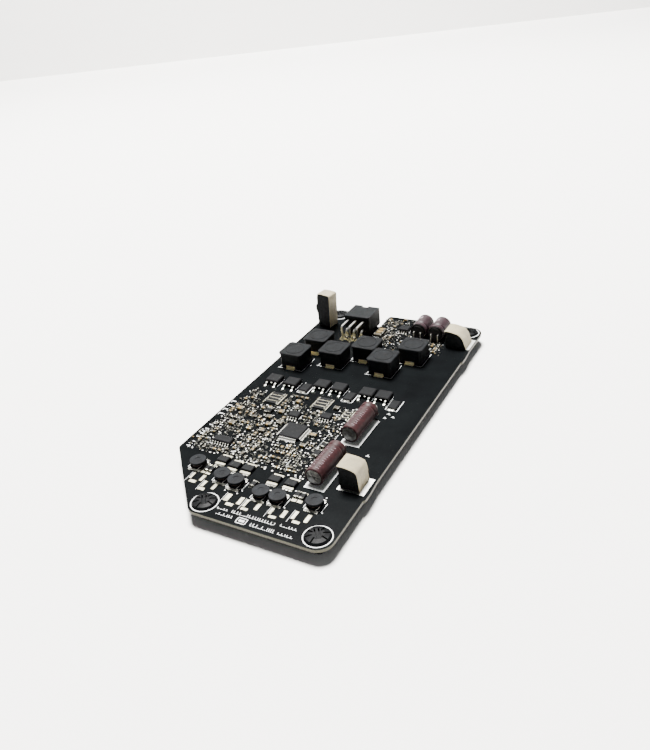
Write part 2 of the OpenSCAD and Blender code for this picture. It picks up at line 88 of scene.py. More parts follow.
def solids(node):
    """The same six numbers for each separate solid of a CAD node."""
    mesh = bmesh.new()
    mesh.from_mesh(frame["nodes"][node].data)
    bmesh.ops.remove_doubles(mesh, verts=mesh.verts, dist=1e-7)
    seen, boxes = set(), []
    for start in mesh.verts:
        if start in seen:
            continue
        seen.add(start)
        queue, found = [start], []
        while queue:
            vert = queue.pop()
            found.append(in_board(vert.co))
            for edge in vert.link_edges:
                other = edge.other_vert(vert)
                if other not in seen:
                    seen.add(other)
                    queue.append(other)
        spans = [[p[i] for p in found] for i in range(3)]
        boxes.append(tuple(f(s) for s in spans for f in (min, max)))
    mesh.free()
    return boxes


def middle(box):
    return (box[0] + box[1]) / 2, (box[2] + box[3]) / 2


# ---------------------------------------------------------------- finishes
def shade(red, green, blue):
    """A display colour from 0 to 255 as a linear one."""
    def linear(v):
        v /= 255
        return v / 12.92 if v <= 0.04045 else ((v + 0.055) / 1.055) ** 2.4
    return (linear(red), linear(green), linear(blue), 1.0)


class Finish:
    """A Principled material, with short calls for the nodes that feed it."""

    def __init__(self, name, **sockets):
        self.material = bpy.data.materials.new(name)
        self.material.use_nodes = True
        self.tree = self.material.node_tree
        self.shader = self.tree.nodes["Principled BSDF"]
        for socket, value in sockets.items():
            self.shader.inputs[socket.replace("_", " ")].default_value = value
        self.place = self.node("TexCoord").outputs["Object"]

    def node(self, kind, links=None, **values):
        made = self.tree.nodes.new("ShaderNode" + kind)
        for key, value in values.items():
            if hasattr(made, key):
                setattr(made, key, value)
            else:
                made.inputs[key.replace("_", " ")].default_value = value
        for key, source in (links or {}).items():
            self.tree.links.new(source, made.inputs[key])
        return made

    def stretched(self, x, y, z):
        return self.node("Mapping", {"Vector": self.place}, Scale=(x, y, z)).outputs["Vector"]

    def noise(self, scale, detail=3.0, vector=None, Roughness=0.55):
        links = {"Vector": vector or self.place}
        return self.node("TexNoise", links, Scale=scale, Detail=detail,
                         Roughness=Roughness).outputs["Fac"]

    def cells(self, scale, output="Distance", feature="F1", vector=None):
        links = {"Vector": vector or self.place}
        return self.node("TexVoronoi", links, feature=feature, Scale=scale).outputs[output]

    def span(self, value, low, high, start=0.3, stop=0.7):
        """Maps value from start..stop to low..high, clamped."""
        made = self.node("MapRange", {"Value": value})
        for key, number in zip(("From Min", "From Max", "To Min", "To Max"),
                               (start, stop, low, high)):
            made.inputs[key].default_value = number
        return made.outputs["Result"]

    def mix(self, factor, a, b):
        made = self.node("Mix", data_type="RGBA")
        self.tree.links.new(factor, made.inputs[0])
        for socket, value in ((made.inputs[6], a), (made.inputs[7], b)):
            if isinstance(value, tuple):
                socket.default_value = value
            else:
                self.tree.links.new(value, socket)
        return made.outputs[2]

    def math(self, operation, a, b=0.0):
        made = self.node("Math", operation=operation)
        for socket, value in ((made.inputs[0], a), (made.inputs[1], b)):
            if isinstance(value, (int, float)):
                socket.default_value = value
            else:
                self.tree.links.new(value, socket)
        return made.outputs[0]

    def split(self, vector):
        return self.node("SeparateXYZ", {"Vector": vector}).outputs

    def colour(self, source):
        self.tree.links.new(source, self.shader.inputs["Base Color"])

    def rough(self, source):
        self.tree.links.new(source, self.shader.inputs["Roughness"])

    def bump(self, height, depth, strength=1.0):
        """Bump of that depth in millimetres; several calls add up."""
        made = self.node("Bump", {"Height": height}, Strength=strength, Distance=depth * MM)
        normal = self.shader.inputs["Normal"]
        if normal.links:
            self.tree.links.new(normal.links[0].from_socket, made.inputs["Normal"])
        self.tree.links.new(made.outputs["Normal"], normal)


def plain_finish(name, dark, light, rough, blotch=600, grain=7000, depth=0.02, **sockets):
    """Colour drifts between two shades, with a fine grain in gloss and surface."""
    made = Finish(name, **sockets)
    drift = made.noise(blotch)
    fine = made.noise(grain, 4.0)
    made.colour(made.mix(made.span(drift, 0.0, 1.0), shade(*dark), shade(*light)))
    made.rough(made.span(fine, rough - 0.07, rough + 0.09))
    made.bump(fine, depth)
    return made


def board_finish():
    """Black solder mask on both faces, bare laminate round the edges."""
    made = Finish("solder_mask", IOR=1.52, Specular_IOR_Level=0.035)
    up = made.math("ABSOLUTE", made.split(made.node("NewGeometry").outputs["Normal"])[2])
    face = made.span(up, 0.0, 1.0, 0.5, 0.9)
    mask = made.mix(made.span(made.noise(90), 0.0, 1.0), shade(6, 7, 8), shade(10, 12, 13))
    fibre = made.noise(1500, 4.0, made.stretched(1, 1, 9))
    edge = made.mix(made.span(fibre, 0.0, 1.0), shade(64, 63, 55), shade(98, 96, 84))
    made.colour(made.mix(face, edge, mask))
    weave = made.math("MULTIPLY", made.cells(1900), 0.5)
    made.rough(made.span(made.noise(2600), 0.18, 0.27))
    made.bump(weave, 0.006)
    made.bump(made.noise(7000), 0.004)
    return made.material


def ink_finish():
    made = Finish("print_ink", Roughness=0.62)
    wear = made.noise(2600, 5.0)
    made.colour(made.mix(made.span(wear, 0.0, 1.0, 0.35, 0.5),
                         shade(150, 153, 155), shade(214, 216, 215)))
    made.rough(made.span(wear, 0.7, 0.52))
    made.bump(made.noise(9000), 0.01)
    return made.material


def solder_finish(name, dark, light, rough=0.3):
    made = Finish(name, Metallic=1.0)
    pool = made.noise(1400, 3.0)
    made.colour(made.mix(made.span(pool, 0.0, 1.0), shade(*dark), shade(*light)))
    made.rough(made.span(made.noise(5200), rough - 0.08, rough + 0.14))
    made.bump(pool, 0.03)
    made.bump(made.noise(16000), 0.006)
    return made.material


def chip_end_finish():
    """Tinned chip ends and solder: dull grey, with painted glints here and there (painted
    highlights in the colour).
    """
    made = Finish("chip_end_metal", Metallic=1.0)
    painted_glint = made.noise(1500, 2.0)
    # Painted highlights: bright spots mixed into the colour
    made.colour(made.mix(made.span(painted_glint, 0.0, 1.0, 0.5, 0.68),
                         shade(40, 40, 37), shade(206, 204, 192)))
    made.rough(made.span(painted_glint, 0.5, 0.26))
    made.bump(made.noise(5200), 0.02)
    return made.material


def ferrite_finish(name, dark, light, rough):
    """Pressed ferrite: matte grey, with painted shade in the pores and a few painted glints as
    bright specks.
    """
    made = Finish(name, IOR=1.5, Specular_IOR_Level=0.05)
    drift = made.span(made.noise(420), 0.0, 1.0)
    body = made.mix(drift, shade(*dark), shade(*light))
    pore = made.span(made.cells(5200), 1.0, 0.0, 0.05, 0.2)
    # Painted glints: sparse bright specks in the colour
    painted_sparkle = made.span(made.noise(15000, 2.0), 0.0, 0.5, 0.66, 0.76)
    # Painted shade: the pores are darkened in the colour as well as sunk by the bump
    pore_shaded = made.mix(pore, body, shade(10, 10, 11))
    made.colour(made.mix(painted_sparkle, pore_shaded, shade(58, 60, 63)))
    made.rough(made.span(made.noise(3800), rough - 0.06, rough + 0.1))
    made.bump(made.noise(6500, 5.0), 0.03)
    made.bump(pore, -0.02)
    return made.material


def can_finish():
    """Drawn aluminium, with fine lines round the can and across its end."""
    made = Finish("can_aluminium", Metallic=1.0)
    lines = made.noise(900, 4.0, made.stretched(1, 30, 1))
    made.colour(made.mix(made.span(lines, 0.0, 1.0), shade(112, 112, 112), shade(158, 158, 157)))
    made.rough(made.span(lines, 0.3, 0.46))
    made.bump(lines, 0.012)
    return made.material


def sleeve_finish(name, dark, light):
    """Shrink film, thin and glossy, slightly mottled by the can below."""
    made = Finish(name, IOR=1.5, Specular_IOR_Level=0.18)
    drift = made.noise(700, 4.0)
    tone = made.mix(made.span(drift, 0.0, 1.0), shade(*dark), shade(*light))
    dust = made.span(made.noise(9000, 2.0), 0.0, 0.25, 0.6, 0.75)
    made.colour(made.mix(dust, tone, shade(84, 54, 56)))
    made.rough(made.span(made.noise(2200), 0.44, 0.58))
    made.bump(made.noise(1100, 2.0, made.stretched(1, 0.25, 1)), 0.05)
    return made.material


def fabric_finish():
    """Woven metallised cloth: plain weave, beige grey, slightly creased."""
    made = Finish("gasket_jacket", Metallic=0.15, Sheen_Weight=0.15, Sheen_Roughness=0.4)
    x, y, z = made.split(made.place)[:3]
    pitch = 2 * math.pi / (WEAVE_PITCH * MM)
    warp = made.math("SINE", made.math("MULTIPLY", y, pitch))
    weft = made.math("SINE", made.math("MULTIPLY", made.math("SUBTRACT", x, z), pitch))
    weave = made.math("MULTIPLY", warp, weft)
    drift = made.noise(260, 4.0)
    thread = made.noise(4200, 3.0, made.stretched(1, 12, 1))
    base = made.mix(made.span(drift, 0.0, 1.0), shade(112, 103, 80), shade(156, 145, 114))
    woven = made.mix(made.span(weave, 0.0, 0.4, -1.0, 1.0), base, shade(74, 66, 48))
    made.colour(made.mix(made.span(thread, 0.0, 0.45), woven, shade(184, 173, 144)))
    made.rough(made.span(drift, 0.46, 0.64))
    made.bump(weave, 0.035)
    made.bump(drift, 0.25, 0.6)
    return made.material


def foam_finish():
    """Black open-cell foam, with pores at two sizes; the hollows of the larger pores carry painted
    shade.
    """
    made = Finish("gasket_foam", Roughness=0.9, Specular_IOR_Level=0.06)
    pores = made.cells(3600)
    small = made.cells(9500)
    # Painted shade: the colour is darkest at the pore centres, where the bump sinks
    made.colour(made.mix(made.span(pores, 0.0, 1.0, 0.1, 0.5), shade(6, 6, 7), shade(24, 25, 26)))
    made.rough(made.span(small, 0.8, 0.97))
    made.bump(pores, 0.12)
    made.bump(small, 0.04)
    return made.material


def ceramic_finish():
    """Tan chip ceramic; each chip falls in its own patch of tone."""
    made = Finish("chip_ceramic", IOR=1.6, Specular_IOR_Level=0.2)
    patch = made.node("TexWhiteNoise", {"Vector": made.node(
        "VectorMath", {0: made.place}, operation="SNAP").outputs[0]}, noise_dimensions="2D")
    patch.inputs["Vector"].links[0].from_node.inputs[1].default_value = (0.0026, 0.0018, 1)
    fine = made.noise(6000)
    tan = made.mix(patch.outputs["Value"], shade(44, 34, 16), shade(112, 90, 44))
    tone = made.mix(made.span(patch.outputs["Value"], 0.0, 1.0, 0.45, 0.5), shade(15, 14, 13), tan)
    made.colour(made.mix(made.span(fine, 0.0, 0.25), tone, shade(126, 110, 68)))
    made.rough(made.span(fine, 0.38, 0.55))
    made.bump(fine, 0.012)
    return made.material


def floor_finish():
    made = Finish("floor", Roughness=0.8)
    made.colour(made.mix(made.noise(12, 4.0), shade(238, 237, 235), shade(244, 243, 241)))
    made.rough(made.span(made.noise(300), 0.75, 0.9))
    made.bump(made.noise(2200), 0.02)
    return made.material


FINISHES = {
    "solder_mask": board_finish(),
    "tinned_metal": solder_finish("tinned_metal", (176, 176, 170), (232, 230, 222)),
    "bush_nylon": plain_finish("bush_nylon", (5, 6, 7), (9, 10, 12), 0.42, depth=0.03,
                               IOR=1.53, Specular_IOR_Level=0.04).material,
    "header_nylon": plain_finish("header_nylon", (14, 16, 17), (22, 24, 26), 0.5, depth=0.03,
                                 IOR=1.53, Specular_IOR_Level=0.05).material,
    "ferrite": ferrite_finish("ferrite", (11, 12, 13), (19, 21, 23), 0.6),
    "gold_terminal": plain_finish("gold_terminal", (228, 214, 160), (247, 237, 196), 0.4,
                                  depth=0.03, Metallic=0.15).material,
    "mould_compound": plain_finish("mould_compound", (7, 8, 9), (14, 15, 17), 0.54,
                                   grain=9500, depth=0.025, IOR=1.55,
                                   Specular_IOR_Level=0.05).material,
    "can_aluminium": can_finish(),
    "sleeve_film": sleeve_finish("sleeve_film", (28, 11, 13), (46, 21, 23)),
    "bung_rubber": plain_finish("bung_rubber", (12, 12, 13), (22, 22, 23), 0.66,
                                Specular_IOR_Level=0.3).material,
    "chip_ceramic": ceramic_finish(),
    "gasket_foam": foam_finish(),
    "gasket_jacket": fabric_finish(),
}
INK_FINISH = ink_finish()
LAND_FINISH = solder_finish("land_metal", (186, 186, 182), (216, 215, 210), 0.38)
FLUX_FINISH = solder_finish("header_solder", (168, 156, 108), (226, 219, 184), 0.26)
PIN_FINISH = solder_finish("pin_metal", (120, 120, 117), (190, 190, 184), 0.34)
DRUM_FINISH = ferrite_finish("drum_ferrite", (11, 12, 14), (22, 24, 27), 0.5)
CHIP_END_FINISH = chip_end_finish()
REAR_SLEEVE_FINISH = sleeve_finish("rear_sleeve_film", (28, 19, 22), (48, 34, 39))
WIRE_FINISH = plain_finish("coil_wire", (26, 17, 12), (52, 34, 22), 0.3, Metallic=0.6).material
CREAM_FINISH = plain_finish("bare_pads", (126, 122, 104), (190, 186, 166), 0.36,
                            depth=0.03, Metallic=0.5).material
LILAC_FINISH = plain_finish("print_lilac", (104, 84, 92), (150, 132, 140), 0.5).material

for row in frame["record"]["subparts"]:
    materials = frame["nodes"][row["node"]].data.materials
    materials.clear()
    is_drum = row["node"].startswith("drum_inductor")
    materials.append(DRUM_FINISH if is_drum else FINISHES[row["material_slot"]])
frame["nodes"]["gasket_lands"].data.materials[0] = LAND_FINISH
frame["nodes"]["chip_ends"].data.materials[0] = CHIP_END_FINISH
frame["nodes"]["filter_terminals"].data.materials[0] = CREAM_FINISH
for node in ("header_pins_upper", "header_pins_lower"):
    frame["nodes"][node].data.materials[0] = PIN_FINISH
for node in ("capacitor_sleeve_3", "capacitor_sleeve_4"):
    frame["nodes"][node].data.materials[0] = REAR_SLEEVE_FINISH


def soften(width, *starts):
    """Rounds the hard edges of CAD nodes with modifiers; their meshes stay as packed."""
    for name, obj in frame["nodes"].items():
        if not name.startswith(starts):
            continue
        obj.modifiers.new("weld", "WELD").merge_threshold = 1e-6
        flat = obj.modifiers.new("flat", "DECIMATE")
        flat.decimate_type = "DISSOLVE"
        flat.angle_limit = math.radians(1)
        bevel = obj.modifiers.new("round", "BEVEL")
        bevel.width = width * MM
        bevel.segments = 2
        bevel.limit_method = "ANGLE"
        bevel.angle_limit = math.radians(40)
        obj.modifiers.new("normals", "WEIGHTED_NORMAL")


soften(0.16, "inductor_1", "inductor_2", "inductor_3", "inductor_4", "inductor_5",
       "inductor_6", "header_housing")
soften(0.1, "transistor_1", "transistor_2", "transistor_3", "transistor_4", "transistor_5",
       "transistor_6", "diode_1", "diode_2", "diode_3", "filter_blocks")
soften(0.07, "controller_ic", "small_ics", "chip_", "header_pins", "transistor_leads",
       "transistor_tabs", "filter_terminals", "drum_terminals", "inductor_terminals")


# ------------------------------------------------------------------ shells
class Shells:
    """Closed shells in board millimetres, gathered into one object."""

    def __init__(self):
        self.points, self.faces = [], []

    def loft(self, rings, closed=False):
        """Joins rings of equal length, capped at both ends unless closed."""
        first, n, count = len(self.points), len(rings[0]), len(rings)
        self.points += [p for ring in rings for p in ring]
        if not closed:
            self.faces.append(tuple(first + i for i in reversed(range(n))))
            self.faces.append(tuple(first + (count - 1) * n + i for i in range(n)))
        for k in range(count if closed else count - 1):
            a, b = first + k * n, first + (k + 1) % count * n
            self.faces += [(a + i, a + (i + 1) % n, b + (i + 1) % n, b + i) for i in range(n)]

    def slab(self, x0, x1, y0, y1, z0, z1, draft=0.0):
        d = draft
        self.loft([[(x0, y0, z0), (x1, y0, z0), (x1, y1, z0), (x0, y1, z0)],
                   [(x0 + d, y0 + d, z1), (x1 - d, y0 + d, z1),
                    (x1 - d, y1 - d, z1), (x0 + d, y1 - d, z1)]])

    def line(self, x0, y0, x1, y1, width, z0=0.0, z1=INK):
        """A flat strip from one point to another."""
        along = Vector((x1 - x0, y1 - y0)).normalized() * width / 2
        a, b = along.x, along.y
        corners = [(x0 - a + b, y0 - b - a), (x1 + a + b, y1 + b - a),
                   (x1 + a - b, y1 + b + a), (x0 - a - b, y0 - b + a)]
        self.loft([[(x, y, z) for x, y in corners] for z in (z0, z1)])

    def lathe(self, x, y, profile, sides=24, turn=0.0):
        """Rings of (radius, z) round a vertical line."""
        angles = [turn + 2 * math.pi * i / sides for i in range(sides)]
        self.loft([[(x + r * math.cos(a), y + r * math.sin(a), z) for a in angles]
                   for r, z in profile])

    def annulus(self, x, y, inner, outer, z0, z1, sides=48):
        section = [(inner, z0), (outer, z0), (outer, z1), (inner, z1)]
        self.loft([[(x + r * math.cos(a), y + r * math.sin(a), z) for r, z in section]
                   for a in (2 * math.pi * i / sides for i in range(sides))], closed=True)

    def tube(self, path, radius, sides=8):
        rings = []
        side = None
        for i, point in enumerate(path):
            ahead = (path[min(i + 1, len(path) - 1)] - path[max(i - 1, 0)]).normalized()
            if side is None:
                side = ahead.orthogonal().normalized()
            side = (side - ahead * side.dot(ahead)).normalized()
            other = ahead.cross(side)
            rings.append([tuple(point + (side * math.cos(a) + other * math.sin(a)) * radius)
                          for a in (2 * math.pi * k / sides for k in range(sides))])
        self.loft(rings)

    def wedge(self, x, y, direction, width, profile):
        """A profile of (reach, z) facing direction (0 +X, 1 +Y, 2 -X, 3 -Y)."""
        dx, dy = ((1, 0), (0, 1), (-1, 0), (0, -1))[direction]
        self.loft([[(x + dx * t - dy * s, y + dy * t + dx * s, z) for t, z in profile]
                   for s in (-width / 2, width / 2)])

    def patch(self, x, z, radius, a0, a1, y0, y1, depth=INK, steps=6):
        """A curved patch on a cylinder that lies along Y; angles in degrees from +X."""
        rings = []
        for k in range(steps + 1):
            a = math.radians(a0 + (a1 - a0) * k / steps)
            rings.append([(x + r * math.cos(a), y, z + r * math.sin(a)) for r, y in
                          ((radius, y0), (radius + depth, y0), (radius + depth, y1),
                           (radius, y1))])
        self.loft(rings)


def add_object(name, mesh, material, body=ROOT, sharp=None):
    """Links a mesh as a piece that rides on a body; sharp is the smoothing angle."""
    work = bmesh.new()
    work.from_mesh(mesh)
    bmesh.ops.recalc_face_normals(work, faces=work.faces)
    work.to_mesh(mesh)
    work.free()
    mesh.materials.append(material)
    if sharp:
        mesh.shade_smooth()
        mesh.set_sharp_from_angle(angle=math.radians(sharp))
    obj = bpy.data.objects.new(name, mesh)
    bpy.context.scene.collection.objects.link(obj)
    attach(obj, body)
    return obj


def piece(name, shells, material, body=ROOT, sharp=None):
    mesh = bpy.data.meshes.new(name)
    mesh.from_pydata([at(*p) for p in shells.points], [], shells.faces)
    return add_object(name, mesh, material, body, sharp)


# ------------------------------------------------------------- printed ink
ink, rungs = Shells(), Shells()


def dashes(x0, x1, y, height=0.8):
    """A generic row of print: short bars of uneven length instead of letters."""
    x = x0
    while x < x1:
        step = dice.choice((0.5, 0.8, 1.1))
        ink.slab(x, min(x + step, x1), y - height / 2, y - height / 2 + 0.18, 0, INK)
        if dice.random() < 0.75:
            ink.slab(x, x + 0.2, y - height / 2 + 0.26, y + height / 2, 0, INK)
        x += step + 0.3


def outline(x0, x1, y0, y1, width=0.2, sides="lrfb"):
    """Printed sides of a rectangle: l left, r right, f front, b back."""
    if "l" in sides:
        ink.line(x0, y0, x0, y1, width)
    if "r" in sides:
        ink.line(x1, y0, x1, y1, width)
    if "f" in sides:
        ink.line(x0, y0, x1, y0, width)
    if "b" in sides:
        ink.line(x0, y1, x1, y1, width)


def dot(x, y, radius=0.3):
    ink.lathe(x, y, [(radius, 0), (radius, INK)], 16)


for corner in ("front_left", "front_right", "rear_right", "rear_left"):
    bx, by = middle(node_box("bush_" + corner))
    ink.annulus(bx, by, 5.05, 5.4, 0, INK, 72)
for node in DRUMS:
    cx, cy = middle(node_box(node))
    outline(cx - 3.7, cx + 3.7, cy - 2.4, cy + 2.4, 0.2, "lr")
    dot(cx + 4.2, cy - 2.6, 0.22)
for k in (1, 2):
    x0, x1, y0, y1 = node_box(f"capacitor_sleeve_{k}")[:4]
    ink.slab(x0 + 0.2, x1 + 1.2, y0 - 2.1, y1 - 1.6, 0, INK)
for x, y, pitch, length in ((15.2, 72.6, 2.25, 6.6), (37.8, 75.8, 2.25, 6.6),
                            (54.0, 71.2, 2.1, 3.4)):
    for k in (1, 2, 3):
        rungs.slab(x + 0.6, x + length - 0.6, y + k * pitch - 0.1, y + k * pitch + 0.1, 0, 0.42)
    for side in (x - 0.55, x + length + 0.02):
        rungs.slab(side, side + 0.53, y + 0.2, y + 4 * pitch - 0.2, 0, PAD)
for k in (1, 2, 3):
    x0, x1, y0, y1 = node_box(f"diode_{k}")[:4]
    outline(x0 - 0.5, x1 + 0.5, y0 - 0.75, y1 + 1.6, 0.3, "lrf")
    ink.slab(x0 - 0.5, x1 + 0.5, y0 - 0.95, y0 - 0.55, 0, INK)
for k in range(1, 7):
    x0, x1, y0, y1 = node_box(f"transistor_{k}")[:4]
    ink.line(x1 + 0.3, y0 - 0.6, x1 + 0.3, y1 - 0.6, 0.16)
for node in INDUCTORS:
    x0, x1, y0, y1 = node_box(node)[:4]
    outline(x0 - 0.15, x1 + 0.15, y0 - 0.2, y1 + 0.15, 0.16, "rl")
    for x, end in ((x0 - 0.8, x0 + 3.2), (x1 - 3.2, x1 + 0.15)):
        ink.line(x, y0 - 0.2, end, y0 - 0.2, 0.16)
x0, x1, y0, y1 = node_box("controller_ic")[:4]
dot(x0 - 1.9, y0 - 1.2, 0.32)
for box in solids("small_ics"):
    dot(box[0] - 0.7, box[2] - 0.8, 0.25)
    outline(box[0] - 0.35, box[1] + 0.35, box[2] + 0.3, box[3] - 0.3, 0.16, "lr")

# Short bars along the left edge, and a legend of generic bars along the front
for y in (68.9, 65.5, 62.3, 58.6):
    ink.slab(0.9, 3.0, y - 0.4, y + 0.1, 0, INK)
    ink.slab(0.9, 1.2, y - 1.3, y - 0.6, 0, INK)
for y in (49.3, 46.2, 44.3, 42.8, 40.0, 36.5, 34.8, 33.3):
    ink.slab(2.3, 4.3, y - 0.15, y + 0.2, 0, INK)
    dot(5.3, y, 0.2)
outline(48.7, 52.6, 1.6, 4.2, 0.3)
ink.slab(49.5, 51.8, 2.4, 3.4, 0, INK)
for x, end, y, tall in ((39.5, 46.5, 3.2, 1.1), (54.6, 64.5, 2.6, 1.5), (66.0, 72.0, 2.4, 1.0),
                        (44.5, 62.5, 5.9, 1.3), (64.8, 71.5, 6.3, 1.0), (38.2, 42.8, 5.7, 0.9)):
    dashes(x, end, y, tall)
for x, y in ((60.5, 24.3), (52.6, 22.0), (73.0, 25.0), (35.0, 14.8), (4.0, 78.5),
             (11.3, 81.3), (19.3, 108.7), (40.5, 14.9), (68.9, 93.5)):
    dot(x, y, 0.28)
for x, y0, y1 in ((54.9, 50.0, 61.0), (24.4, 37.0, 43.0), (49.0, 36.0, 46.0), (58.9, 57.0, 68.0),
                  (37.0, 137.5, 145.5), (54.2, 137.0, 143.0)):
    ink.line(x, y0, x, y1, 0.16)
    ink.line(x, y0, x + 2.6, y0, 0.16)
for x, y in ((70.8, 79.0), (71.2, 82.2), (73.8, 80.6), (75.4, 52.6), (57.0, 80.0)):
    ink.slab(x, x + 1.5, y, y + 0.25, 0, INK)
    ink.slab(x + 0.4, x + 0.9, y + 0.5, y + 1.0, 0, INK)

# --------------------------------------------------------------- bare pads
# Empty footprints: left bar x0, x1, right bar x0, x1, front pad x0, x1, y0, y1, bar y1
bare = Shells()
for a0, a1, b0, b1, c0, c1, y0, y1, y2 in (
        (37.2, 39.5, 43.2, 45.0, 39.6, 42.8, 8.0, 9.8, 13.8),
        (46.0, 47.4, 51.0, 52.8, 46.4, 49.4, 8.0, 9.6, 13.5),
        (57.0, 58.5, 62.0, 63.8, 58.2, 61.2, 8.2, 9.8, 13.5),
        (66.0, 67.6, 71.2, 72.9, 67.5, 70.5, 9.0, 10.6, 14.7),
        (16.8, 18.1, 21.6, 23.2, 18.1, 21.3, 14.0, 15.8, 19.4),
        (24.2, 25.7, 29.1, 30.7, 24.2, 27.2, 11.5, 13.3, 16.7)):
    bare.slab(a0 + 0.15, a1 - 0.15, y1 + 0.1, y2, 0, PAD)
    bare.slab(b0 + 0.15, b1 - 0.15, y1 + 0.1, y2, 0, PAD)
    bare.slab(c0 + 0.1, c1 - 0.1, y0, y1 - 0.4, 0, PAD)
    outline(a0 - 0.35, b1 + 0.35, y0 - 0.35, y2 + 0.3, 0.12, "l")
for x, y in ((61.4, 18.9), (63.9, 18.9), (19.2, 20.4), (21.6, 20.3)):
    bare.slab(x, x + 1.9, y, y + 1.3, 0, PAD)
    bare.slab(x, x + 1.9, y + 4.6, y + 5.6, 0, PAD)

# ----------------------------------------------- pads and fillets of chips
pads, joints = Shells(), Shells()
bodies = solids("chip_resistors") + solids("chip_capacitors")
for end in solids("chip_ends"):
    ex, ey = middle(end)
    near = min(bodies, key=lambda b: abs(middle(b)[0] - ex) + abs(middle(b)[1] - ey))
    dx, dy = ex - middle(near)[0], ey - middle(near)[1]
    way = (0 if dx > 0 else 2) if abs(dx) > abs(dy) else (1 if dy > 0 else 3)
    lengthways = way % 2 == 0
    width = (end[3] - end[2]) if lengthways else (end[1] - end[0])
    reach = 0.28 if width < 2 else 0.4
    tall = end[5]
    face_x = {0: end[1], 2: end[0]}.get(way, ex)
    face_y = {1: end[3], 3: end[2]}.get(way, ey)
    joints.wedge(face_x, face_y, way, width * 0.92, [
        (-0.03, 0.0), (reach, 0.0), (reach, PAD), (reach * 0.5, tall * 0.18),
        (reach * 0.2, tall * 0.42), (0.02, tall * 0.72), (-0.03, tall * 0.72)])
    pads.wedge(face_x, face_y, way, width + 0.14, [
        (-0.5, 0.0), (reach + 0.08, 0.0), (reach + 0.08, SKIN), (-0.5, SKIN)])

packages = solids("small_ics") + [node_box("controller_ic")]
for lead in solids("ic_leads"):
    lx, ly = middle(lead)
    near = min(packages, key=lambda b: math.dist(middle(b), (lx, ly)))
    if lead[1] - lead[0] < lead[3] - lead[2]:
        way = 1 if ly > middle(near)[1] else 3
    else:
        way = 0 if lx > middle(near)[0] else 2
    toe_x = {0: lead[1], 2: lead[0]}.get(way, lx)
    toe_y = {1: lead[3], 3: lead[2]}.get(way, ly)
    width = min(lead[1] - lead[0], lead[3] - lead[2])
    joints.wedge(toe_x, toe_y, way, width + 0.06, [
        (-0.35, 0.0), (0.45, 0.0), (0.42, PAD), (0.04, 0.13), (-0.35, 0.02)])

# ------------------------------------------------ extra small chips and vias
taken = []
for node in frame["record"]["behaviour"]["bodies"][ROOT]:
    if node != "circuit_board":
        taken += [(b[0], b[1], b[2], b[3]) for b in solids(node) if b[4] < 3]
taken += [(p[0], p[1], p[2], p[3]) for p in (
    (36.6, 45.6, 7.4, 14.4), (45.4, 53.4, 7.4, 14.2), (56.4, 64.4, 7.6, 14.2),
    (65.4, 73.5, 8.4, 15.4), (16.2, 23.8, 13.4, 20.2), (23.6, 31.4, 11.0, 17.4))]
tiny_bodies, tiny_tan, tiny_ends = Shells(), Shells(), Shells()
vias, tented = Shells(), Shells()


def is_free(x0, x1, y0, y1, gap):
    return not any(x0 - gap < b[1] and x1 + gap > b[0] and y0 - gap < b[3] and y1 + gap > b[2]
                   for b in taken)


def tiny_chip(x, y, turned):
    """A 1.0 by 0.5 mm chip on its two pads."""
    half, wide = (0.25, 0.5) if turned else (0.5, 0.25)
    spot = (x - half - 0.2, x + half + 0.2, y - wide - 0.2, y + wide + 0.2)
    if not is_free(*spot, 0.05):
        return
    taken.append(spot)
    tall = dice.choice((0.32, 0.35, 0.5))
    middle_part = tiny_tan if tall == 0.5 and dice.random() < 0.8 else tiny_bodies
    if turned:
        middle_part.slab(x - 0.23, x + 0.23, y - 0.3, y + 0.3, 0.02, tall - 0.02)
    else:
        middle_part.slab(x - 0.3, x + 0.3, y - 0.23, y + 0.23, 0.02, tall - 0.02)
    for way in ((1, 3) if turned else (0, 2)):
        tiny_ends.wedge(x, y, way, 0.5, [
            (0.28, 0.0), (0.68, 0.0), (0.66, 0.06), (0.54, tall * 0.5), (0.5, tall), (0.28, tall)])


def via(x, y, outer=0.32, shells=vias):
    spot = (x - outer, x + outer, y - outer, y + outer)
    if not is_free(*spot, 0.02):
        return
    taken.append(spot)
    shells.annulus(x, y, outer * 0.45, outer, 0, SKIN, 12)


FIELDS = ((3.4, 34.0, 32.6, 72.0), (24.0, 60.4, 31.4, 51.0), (34.5, 57.5, 134.5, 167.5),
          (49.8, 60.4, 50.0, 82.0), (24.0, 36.4, 70.0, 78.0),
          (37.5, 60.0, 62.6, 75.4), (58.0, 74.0, 136.5, 148.2), (1.4, 12.0, 36.0, 47.0))
ROW_PITCH = 0.92
CHIP_SHARE, VIA_SHARE, TICK_SHARE = 0.22, 0.34, 0.38  # running totals; the rest stays bare
for fx0, fx1, fy0, fy1 in FIELDS:
    y = fy0
    while y < fy1:
        x = fx0 + dice.uniform(0, 0.4)
        while x < fx1:
            roll = dice.random()
            if roll < CHIP_SHARE:
                tiny_chip(x, y, dice.random() < 0.5)
            elif roll < VIA_SHARE:
                via(x, y)
            elif roll < TICK_SHARE and is_free(x - 0.5, x + 0.5, y - 0.2, y + 0.2, 0.05):
                ink.slab(x - 0.4, x + 0.4, y - 0.1, y + 0.1, 0, INK)
                taken.append((x - 0.5, x + 0.5, y - 0.2, y + 0.2))
            x += dice.uniform(0.85, 1.25)
        y += ROW_PITCH
for _ in range(150):
    via(dice.uniform(33, 84), dice.uniform(93, 168), 0.28, tented)
for _ in range(60):
    via(dice.uniform(5, 60), dice.uniform(93, 108), 0.28, tented)

